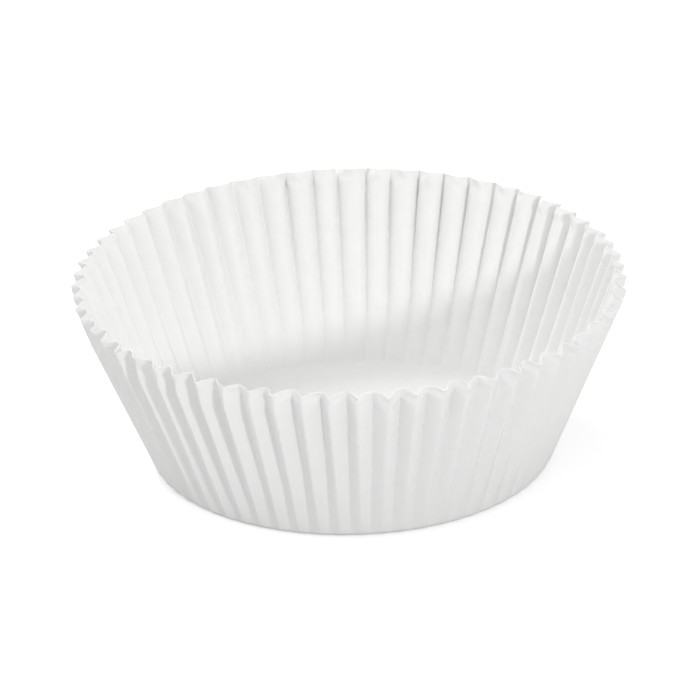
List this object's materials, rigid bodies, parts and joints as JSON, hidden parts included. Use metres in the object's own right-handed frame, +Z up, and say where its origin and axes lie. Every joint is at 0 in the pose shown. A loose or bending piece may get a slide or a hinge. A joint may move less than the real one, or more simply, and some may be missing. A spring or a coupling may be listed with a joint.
{
  "type": "paper candy cup",
  "caption": "Round fluted paper candy cup with a flat bottom and a flared pleated wall, open at the top, pressed from one disc of thin white greaseproof paper",
  "frame": {"origin": "centre of the cup's bottom, on the surface that it stands on", "axes": "+Z up along the cup's own axis, -Y the side nearest the picture's camera, +X to the right"},
  "size_m": [0.0526, 0.0526, 0.0181],
  "materials": {
    "paper": "matte white greaseproof paper, slightly translucent"
  },
  "bodies": {
    "root": {"paper_cup": "paper"}
  },
  "joints": []
}
